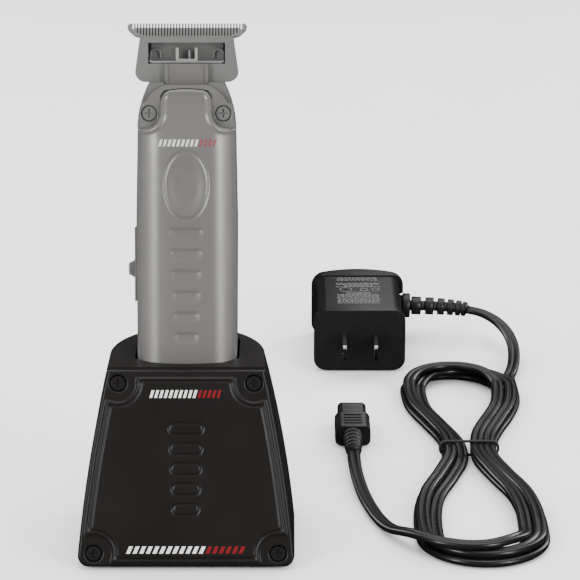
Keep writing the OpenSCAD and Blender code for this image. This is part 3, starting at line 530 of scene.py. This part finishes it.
def relief_sheet(name, matrix, x_range, z_range, cell, inside, depth, back):
    """A moulded sheet in the millimetres of a local frame. inside(x, z) is the distance in from
    its edge, depth(x, z) its surface's y, and back(x, z) the y that its side walls run to."""
    columns = round((x_range[1] - x_range[0]) / cell)
    rows = round((z_range[1] - z_range[0]) / cell)
    step_x, step_z = (x_range[1] - x_range[0]) / columns, (z_range[1] - z_range[0]) / rows

    def corner(i, j):
        return x_range[0] + i * step_x, z_range[0] + j * step_z

    cells = [(i, j) for i in range(columns) for j in range(rows) if inside(*corner(i + 0.5, j + 0.5)) > 0]
    bm = bmesh.new()
    points = {}
    for i, j in cells:
        for key in ((i, j), (i + 1, j), (i + 1, j + 1), (i, j + 1)):
            if key not in points:
                points[key] = bm.verts.new((*corner(*key), 0))
        bm.faces.new([points[key] for key in ((i, j), (i + 1, j), (i + 1, j + 1), (i, j + 1))])
    rim = [edge for edge in bm.edges if len(edge.link_faces) == 1]
    near = 0.02
    for vert in {vert for edge in rim for vert in edge.verts}:
        for _ in range(3):
            x, z = vert.co.x, vert.co.y
            gap = inside(x, z)
            slope = Vector((inside(x + near, z) - inside(x - near, z),
                            inside(x, z + near) - inside(x, z - near), 0)) / (2 * near)
            if slope.length > 0.2:
                vert.co -= slope * gap / slope.length_squared
    for vert in bm.verts:
        x, z = vert.co.x, vert.co.y
        vert.co = Vector((x, depth(x, z), z))
    wall = bmesh.ops.extrude_edge_only(bm, edges=rim)["geom"]
    for vert in wall:
        if isinstance(vert, bmesh.types.BMVert):
            vert.co.y = back(vert.co.x, vert.co.z)
    for vert in bm.verts:
        vert.co = matrix @ (vert.co * MM)
    return new_object(name, bm)


# ---------------------------------------------------------------- the stand's front plate
STAND_HALF = 39.33              # half width of its curved sides where they would be upright
STAND_ARC_R = 424.0
STAND_ARC_Z = -36.0
SIDE_COS = 0.985                # cosine of the sides' usual lean
PLATE_CORNER_R = 4.0
PLATE_X = (-38.2, 38.2)         # the rectangle that the plate is cut from
PLATE_S = (0.8, 69.3)
FACE_LENGTH = 69.17
FACE_SCREWS = [(23.5, 64.3), (31.8, 5.6)]
SCREW_HOLE_R = 2.85
FOOT_LIFT = 1.0
PANEL_MARGIN = 1.7              # from the stand's sides to the panel's
PANEL_ENDS = (2.0, 66.5)
PANEL_HEIGHT = 0.8              # how far the panel and the ledge round it stand out
SCREW_NOTCH_R = 6.3
GROOVE = (1.8, 0.8, 0.5)        # its middle's distance in from the panel's edge, half width, depth
PILL_S = 48.6                   # place of the highest of the five pill outlines
PILL_PITCH = 6.95
PILL_SIZE = (11.7, 3.8)
PILL_NARROWING = 0.7            # from one pill to the next
PILL_LINE = (0.52, 0.4)         # half width and depth of the line
PLATE_CELL = 0.36               # millimetres between the points of its surface
PLATE_BACK = 2.4                # y of the plate's back


def stand_half(z):
    """Half width of the stand at that height."""
    return STAND_HALF - STAND_ARC_R + math.sqrt(STAND_ARC_R ** 2 - (z - STAND_ARC_Z) ** 2)


def screw_distance(x, s):
    return min(math.hypot(abs(x) - a, s - b) for a, b in FACE_SCREWS)


def plate_edge(x, s):
    """Distance in from the outer edge of the plate; its lower corners are round."""
    z = s * math.cos(FACE_LEAN)
    side = (stand_half(z) - abs(x)) * SIDE_COS
    return min(round_corner(side, z - FOOT_LIFT, PLATE_CORNER_R), FACE_LENGTH - 0.1 - s)


def plate_inside(x, s):
    return min(plate_edge(x, s), screw_distance(x, s) - SCREW_HOLE_R)


def panel_inside(x, s):
    """Distance in from the outer line of the raised middle, notched round each screw."""
    side = stand_half(s * math.cos(FACE_LEAN)) - abs(x) - PANEL_MARGIN
    ends = min(s - PANEL_ENDS[0], (PANEL_ENDS[1] - s) * 1.27)
    return soft_min(soft_min(side, ends, 1.2), (screw_distance(x, s) - SCREW_NOTCH_R) * 1.2, 1.6)


def plate_depth(x, s):
    """The plate's surface: a raised panel with a groove inside its edge, and five pill outlines."""
    inset = panel_inside(x, s)
    groove_in, groove_half, groove_depth = GROOVE
    out = PANEL_HEIGHT * smooth_step((inset + 0.2) / 1.2)
    out -= groove_depth * bump(inset - groove_in, groove_half)
    (width, height), (line_half, line_depth) = PILL_SIZE, PILL_LINE
    for i in range(5):
        apart = pill_distance(x, s - PILL_S + PILL_PITCH * i, width - PILL_NARROWING * i, height)
        out -= line_depth * bump(apart, line_half)
    return (roll(plate_edge(x, s), 1.0) + roll(screw_distance(x, s) - SCREW_HOLE_R, 0.5)) - out


def make_stand_front():
    plate = relief_sheet("stand_front", FACE, PLATE_X, PLATE_S, PLATE_CELL, plate_inside,
                         plate_depth, lambda x, s: PLATE_BACK)
    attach(plate, "stand")
    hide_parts("stand_front_plate")
    dress(plate, "stand_black")


# ---------------------------------------------------------------- the clipper's front cover
GRIP_Z = 80.0                   # widest point of the grip
NECK_Z = 111.0                  # where its sides start to curve in
NECK_TOP_Z = 127.2
FOOT_HALF = 17.2                # half width of the body at its foot and at those three heights
GRIP_HALF = 17.6
NECK_HALF = 17.0
TOP_HALF = 13.0
COVER_Z = (5.6, 125.1)
NOTCH_Z = 111.5
NOTCH_R = 5.2
TONGUE_HALF = 8.9
TONGUE_CORNER_R = 3.3
ARCH_R = 40.0
SEAM_Y = 1.0                    # where the front cover meets the rear one
FRONT_LINE = [(0, -14), (106, -14), (111, -13.6), (116, -12.6), (120.5, -11), (127.2, -8.6)]
BULGE_R = 60.0
SHOULDER_REACH = 18.0           # from the clipper's axis to the flat of each shoulder
SHOULDER_TURN = math.radians(50)
HOOD_Z = (103.0, 109.0)         # the rim round the tongue fades in between these heights
RIM_HEIGHT = 0.25
COVER_CELL = 0.4                # millimetres between the points of its surface
COVER_WALL = 1.6
TONGUE_WALL = 2.0               # how far the walls round the tongue go back
SCOOP_Z = 75.1                  # z of the middle of the highest finger scoop
SCOOP_PITCH = 7.28
SCOOP_HALF = 6.9                # half its width
SCOOP_NARROWING = 0.35          # of that half, from one scoop to the next
SCOOP_HEIGHT = 4.4
SCOOP_DEPTH = 0.85
SWITCH_Z = (51.4, 76.1)         # the opening for the switch plate in the cover's left wall
SWITCH_FRONT_Y = -3.6
THUMB = (91.8, 8.0, 12.4)       # z of the thumb rest's middle, and its two half widths


def body_half(z):
    """Half width of the clipper's body at that height."""
    if z < GRIP_Z:
        return FOOT_HALF + (GRIP_HALF - FOOT_HALF) * z / GRIP_Z
    if z < NECK_Z:
        return GRIP_HALF - (GRIP_HALF - NECK_HALF) * (z - GRIP_Z) / (NECK_Z - GRIP_Z)
    return TOP_HALF + (NECK_HALF - TOP_HALF) * (1 - ((z - NECK_Z) / (NECK_TOP_Z - NECK_Z)) ** 2)


def tongue_edge(x, z):
    """Distance in from the notches round the two screws and from the tongue's round top."""
    beside, above = TONGUE_HALF + NOTCH_R - abs(x), NOTCH_Z + NOTCH_R - z
    if beside > 0 and above > 0:
        notch = math.hypot(beside, above) - NOTCH_R
    else:
        notch = max(TONGUE_HALF - abs(x), NOTCH_Z - z)
    arch = ARCH_R - math.hypot(x, max(0.0, z - COVER_Z[1] + ARCH_R))
    return round_corner(notch, arch, TONGUE_CORNER_R) if z > NOTCH_Z + NOTCH_R else notch


def cover_inside(x, z):
    return min(body_half(z) - abs(x), z - COVER_Z[0], tongue_edge(x, z))


def body_front(x, z):
    """The body's bare front surface: a slight bulge with a soft shoulder down each side."""
    middle = FRONT_LINE[0][1] + BULGE_R - math.sqrt(BULGE_R ** 2 - x * x)
    shoulder = (abs(x) * math.cos(SHOULDER_TURN) - SHOULDER_REACH) / math.sin(SHOULDER_TURN)
    for (z0, y0), (z1, y1) in zip(FRONT_LINE, FRONT_LINE[1:]):
        if z <= z1:
            break
    lean = y0 + (y1 - y0) * (z - z0) / (z1 - z0)
    return soft_max(soft_max(middle, shoulder, 2.6), lean, 0.8)


def grip_scoops(x, z):
    """Depth of the six finger scoops: deepest under a crisp upper edge, and rising to the lower one."""
    total = 0.0
    for i in range(6):
        rise = z - SCOOP_Z + SCOOP_PITCH * i
        half = SCOOP_HALF - SCOOP_NARROWING * i
        mask = smooth_step(-pill_distance(x, rise, 2 * half, SCOOP_HEIGHT) / 1.1)
        ends = smooth_step((half - abs(x)) / 3.0)
        slope = (rise + 2.8) / 5.0      # 1 at the upper edge and almost 0 at the lower one
        total += SCOOP_DEPTH * mask * ends * slope
    return max(0.0, total)


def thumb_rest(x, z):
    """Depth of the dished oval and of the line round it."""
    middle, wide, high = THUMB
    dish_depth, line_depth, line_half = 0.75, 0.5, 0.75
    reach = math.hypot(x / wide, (z - middle) / high)
    apart = (reach - 0.95) * (wide + high) / 2
    return dish_depth * smooth_step((0.93 - reach) / 0.55) + line_depth * bump(apart, line_half)


def cover_depth(x, z):
    """The cover's surface: the body's with a rim round the tongue, the scoops and the thumb rest."""
    side_radius, tongue_radius, lower_radius = 1.8, 0.7, 0.3
    edge = tongue_edge(x, z)
    hood = smooth_step((z - HOOD_Z[0]) / (HOOD_Z[1] - HOOD_Z[0]))
    rim = RIM_HEIGHT * hood * (bump(edge - 1.1, 1.2) - smooth_step((edge - 1.2) / 1.4))
    sunk = grip_scoops(x, z) + thumb_rest(x, z) - rim
    return (body_front(x, z) + sunk + roll(body_half(z) - abs(x), side_radius)
            + roll(edge, tongue_radius) + roll(z - COVER_Z[0], lower_radius))


def cover_back(x, z):
    """The cover's walls end at the seam, before it beside the switch, and just behind the tongue."""
    beside_tongue = 0.5
    if tongue_edge(x, z) < beside_tongue:
        return cover_depth(x, z) + TONGUE_WALL
    if x < 0 and SWITCH_Z[0] < z < SWITCH_Z[1]:
        return SWITCH_FRONT_Y
    return SEAM_Y


def make_clipper_front():
    cover = relief_sheet("clipper_front", CLIPPER, (-GRIP_HALF, GRIP_HALF), COVER_Z, COVER_CELL,
                         cover_inside, cover_depth, cover_back)
    wall = cover.modifiers.new("wall", "SOLIDIFY")
    wall.thickness = COVER_WALL * MM
    wall.offset = -1
    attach(cover, "clipper")
    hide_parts("front_cover")
    dress(cover, "satin_grey")


# ---------------------------------------------------------------- printed marks
def slanted_bars(count, first_red, x0, x1, height, slant):
    """A plain row of slanted bars: (corner points in x and z, is it red)."""
    pitch = (x1 - x0) / count
    bar_share = 0.58
    out = []
    for i in range(count):
        left = x0 + i * pitch
        right = left + pitch * bar_share
        out.append(([(left, 0), (right, 0), (right + slant, height), (left + slant, height)],
                    i >= first_red))
    return out


PRINT_OUT = (-0.04, 0.05)       # how far a print's back and front stand out from its surface


def printed_mark(name, body, matrix, bars, z0, depth_at, inks=("mark_white", "mark_red")):
    """Thin printed bars that follow a surface given by depth_at(x, z), all in millimetres."""
    for red in (False, True):
        bm = bmesh.new()
        for corners, is_red in bars:
            if is_red != red:
                continue
            (xa, za), (xb, _), (xc, zc), (xd, _) = corners
            steps = 4
            rows = []
            for k in range(steps + 1):
                t = k / steps
                low = (xa + (xb - xa) * t, z0 + za)
                high = (xd + (xc - xd) * t, z0 + zc)
                rows.append([bm.verts.new(matrix @ (Vector((x, depth_at(x, z) - out, z)) * MM))
                             for (x, z) in (low, high) for out in PRINT_OUT])
            for a, b in zip(rows, rows[1:]):
                for i, j in ((0, 1), (1, 3), (3, 2), (2, 0)):
                    bm.faces.new((a[i], a[j], b[j], b[i]))
            for row in (rows[0], rows[-1]):
                bm.faces.new((row[0], row[1], row[3], row[2]))
        mark = new_object(name + ("_red" if red else "_white"), bm, smooth=False)
        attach(mark, body)
        mark.data.materials.append(MATERIALS[inks[red]])


def make_marks():
    """Rows of bars in the places of the printed marks: two on the stand, one on the clipper."""
    printed_mark("stand_mark_upper", "stand", FACE, slanted_bars(15, 10, -12.6, 12.2, 2.7, 0.8),
                 59.3, lambda x, z: -PANEL_HEIGHT)
    printed_mark("stand_mark_lower", "stand", FACE, slanted_bars(18, 12, -20.6, 20.4, 2.5, 1.1),
                 5.7, lambda x, z: -PANEL_HEIGHT)
    printed_mark("clipper_mark", "clipper", CLIPPER, slanted_bars(13, 9, -9.6, 10.6, 2.4, 0.7),
                 105.2, cover_depth, ("pale_white", "pale_red"))


# ---------------------------------------------------------------- hank tie
def make_tie(lead_line):
    """A thin coated wire pulled round the waist of the hank."""
    waist = [p for p in lead_line if abs(p.y - TIE_Y * MM) < 2 * MM]
    wire_radius, clear = 0.55 * MM, 0.45 * MM
    left = min(p.x for p in waist) - LEAD_W / 2 - clear
    right = max(p.x for p in waist) + LEAD_W / 2 + clear
    top = max(p.z for p in waist) + LEAD_T / 2 + clear
    corner, bottom, slant = 2.2 * MM, 0.6 * MM, 1.2 * MM
    loop = []
    for x, z, start in ((right - corner, top - corner, 0), (left + corner, top - corner, 90),
                        (left + corner, bottom + corner, 180), (right - corner, bottom + corner, 270)):
        for k in range(9):
            angle = math.radians(start + 11.25 * k)
            height = z + corner * math.sin(angle)
            y = TIE_Y * MM + slant * (height / top - 0.5)
            loop.append(Vector((x + corner * math.cos(angle), y, height)))
    tie = sweep("hank_tie_wire", loop, circle_section(wire_radius), lambda i, along: Vector((0, 1, 0)),
                closed=True)
    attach(tie, "stand")
    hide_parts("hank_tie")
    return dress(tie, "matt_black")


# ---------------------------------------------------------------- strain reliefs
def sleeve(name, root, control, tip, profile):
    """A piece turned about the curve from root to tip. The profile holds (distance along it,
    half width, half height) in millimetres."""
    count = 32
    length = (control - root).length + (tip - control).length
    bm = bmesh.new()
    rings = []
    for distance, across, high in profile:
        t = distance * MM / length
        centre = root.lerp(control, t).lerp(control.lerp(tip, t), t)
        along = (control - root).lerp(tip - control, t).normalized()
        side = along.cross(Vector((0, 0, 1))).normalized()
        up = side.cross(along)
        rings.append([bm.verts.new(centre + side * (across * MM * math.cos(angle))
                                   + up * (high * MM * math.sin(angle)))
                      for angle in [2 * math.pi * k / count for k in range(count)]])
    for lower, upper in zip(rings, rings[1:]):
        for k in range(count):
            bm.faces.new((lower[k], lower[(k + 1) % count], upper[(k + 1) % count], upper[k]))
    bm.faces.new(rings[0][::-1])
    bm.faces.new(rings[-1])
    return new_object(name, bm)


def ribs(start, end, count, radii, core):
    """Profile of a slotted sleeve from start to end: round ribs that shrink between the two
    radii, on a core of that half width and half height."""
    pitch = (end - start) / count
    out = []
    for i in range(count):
        a, b = start + i * pitch, start + (i + 0.7) * pitch
        r = radii[0] + (radii[1] - radii[0]) * i / (count - 1)
        out += [(a, *core), (a + 0.05, r - 0.3, r - 0.3), (a + 0.3, r, r), (b - 0.25, r, r),
                (b - 0.02, r - 0.3, r - 0.3), (b + 0.02, *core)]
    return out + [(end, *core)]


def make_reliefs():
    """The ribbed sleeves on the lead: a curved one at the adapter and a short one at the connector."""
    tip = Vector(ADAPTER_ROUTE[0]) * MM
    root = Vector((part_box("adapter_body")[1].x, 201 * MM, 13 * MM))
    bend = tip - (Vector(ADAPTER_ROUTE[1]) - Vector(ADAPTER_ROUTE[0])) * MM * 1.1
    flange = [(0, 4.4, 4.4), (1.0, 4.4, 4.4), (1.05, 5.0, 5.0), (1.25, 5.2, 5.2), (2.9, 5.2, 5.2),
              (3.15, 4.9, 4.9), (3.2, 2.7, 2.3)]
    long = ((bend - root).length + (tip - bend).length) / MM
    relief = sleeve("adapter_relief", root, bend, tip,
                    flange + ribs(3.5, long, 6, (3.85, 3.1), (2.7, 2.0)))
    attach(relief, "stand")
    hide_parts("adapter_strain_relief")
    dress(relief, "relief_black")

    low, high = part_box("connector_strain_relief")
    middle = (low.x + high.x) / 2
    root, tip = Vector((middle, high.y, 4 * MM)), Vector((middle, low.y, 3.5 * MM))
    long = (tip - root).length / MM
    cuff = sleeve("connector_relief", root, (root + tip) / 2, tip,
                  [(-0.5, 3.9, 3.6)] + ribs(0.4, long, 5, (3.9, 3.1), (2.8, 2.3)))
    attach(cuff, "stand")
    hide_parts("connector_strain_relief")
    dress(cuff, "relief_black")
    return relief, cuff


# ---------------------------------------------------------------- adapter label
def block(bm, x, y, z):
    """A plain block between two corners, added to a bmesh; millimetres."""
    made = bmesh.ops.create_cube(bm, size=1)["verts"]
    size = Vector((x[1] - x[0], y[1] - y[0], z[1] - z[0])) * MM
    place = Vector(((x[0] + x[1]) / 2, (y[0] + y[1]) / 2, (z[0] + z[1]) / 2)) * MM
    for v in made:
        v.co = Vector((v.co.x * size.x, v.co.y * size.y, v.co.z * size.z)) + place


def ring_mark(bm, x, y, radius, z):
    """A thin printed ring."""
    count, width = 28, 0.28
    rings = [[bm.verts.new(Vector((x + r * math.cos(2 * math.pi * k / count),
                                   y + r * math.sin(2 * math.pi * k / count), h)) * MM)
              for k in range(count)]
             for r, h in ((radius, z[0]), (radius, z[1]), (radius - width, z[1]), (radius - width, z[0]))]
    for a, b in zip(rings, rings[1:] + rings[:1]):
        for k in range(count):
            bm.faces.new((a[k], a[(k + 1) % count], b[(k + 1) % count], b[k]))


def make_label():
    """Printed rating lines with no lettering: rows of short bars, and three plain rings."""
    low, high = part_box("adapter_body")
    middle = (low.x + high.x) / 2 / MM
    z = (high.z / MM - 0.03, high.z / MM + 0.05)
    bar_lengths = [1.9, 1.1, 1.5, 0.8, 1.7, 1.2, 0.9, 1.4]
    half_bar, space = 0.27, 0.45
    far = high.y / MM - 2.2
    rows = [(0, 8.2), (1.5, 8.8), (3.0, 8.8), (7.0, 9.3), (8.5, 9.0), (10.0, 6.0), (11.5, 9.3),
            (18.5, 5.0), (20.0, 5.0), (21.5, 9.0), (23.0, 8.5), (24.5, 9.0), (26.0, 9.0),
            (27.5, 8.6), (29.0, 9.0), (30.5, 8.8), (32.0, 9.0)]
    ink = bmesh.new()
    for r, (down, half) in enumerate(rows):
        x, k = middle - half, r * 3
        while x < middle + half - 0.5:
            end = min(x + bar_lengths[k % len(bar_lengths)], middle + half)
            block(ink, (x, end), (far - down - half_bar, far - down + half_bar), z)
            x = end + space
            k += 1
    for x, radius in ((-5.2, 2.6), (2.4, 1.7), (7.2, 1.7)):
        ring_mark(ink, middle + x, far - 15.0, radius, z)
    bars = new_object("adapter_label", ink, smooth=False)
    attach(bars, "stand")
    dress(bars, "adapter_black", "label_ink")
    return bars


# ---------------------------------------------------------------- contact springs
SPRING_X, SPRING_Y = 6.0, -6.0
SPRING_FOOT, SPRING_RISE = -9.6, 6.1
SPRING_TURNS, SPRING_STEPS = 4, 24
SPRING_RADIUS, SPRING_WIRE = 1.4, 0.25


def make_contact_spring(name, side):
    """The coil under a charging pin, with a mesh of its own."""
    foot = Vector((side * SPRING_X, SPRING_Y, SPRING_FOOT))
    coil = []
    for i in range(SPRING_TURNS * SPRING_STEPS + 1):
        angle = 2 * math.pi * i / SPRING_STEPS
        rise = SPRING_RISE * i / (SPRING_TURNS * SPRING_STEPS)
        out = Vector((math.cos(angle), math.sin(angle), 0)) * SPRING_RADIUS
        coil.append(CLIPPER @ ((foot + out + Vector((0, 0, rise))) * MM))
    up = (CLIPPER.to_3x3() @ Vector((0, 0, 1))).normalized()
    spring = sweep(f"contact_coil_{name}", coil, circle_section(SPRING_WIRE * MM, 8),
                   lambda i, along: along.cross(up).normalized())
    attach(spring, "stand")
    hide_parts(f"contact_spring_{name}")
    dress(spring, "bright_steel")
    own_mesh(spring)


# ---------------------------------------------------------------- assembly
lead, lead_line = make_lead()
finish_cad_nodes()
tie = make_tie(lead_line)
reliefs = make_reliefs()
make_stand_front()
make_clipper_front()
make_marks()
make_contact_spring("left", -1)
make_contact_spring("right", 1)
label = make_label()
make_stage()
make_lights()
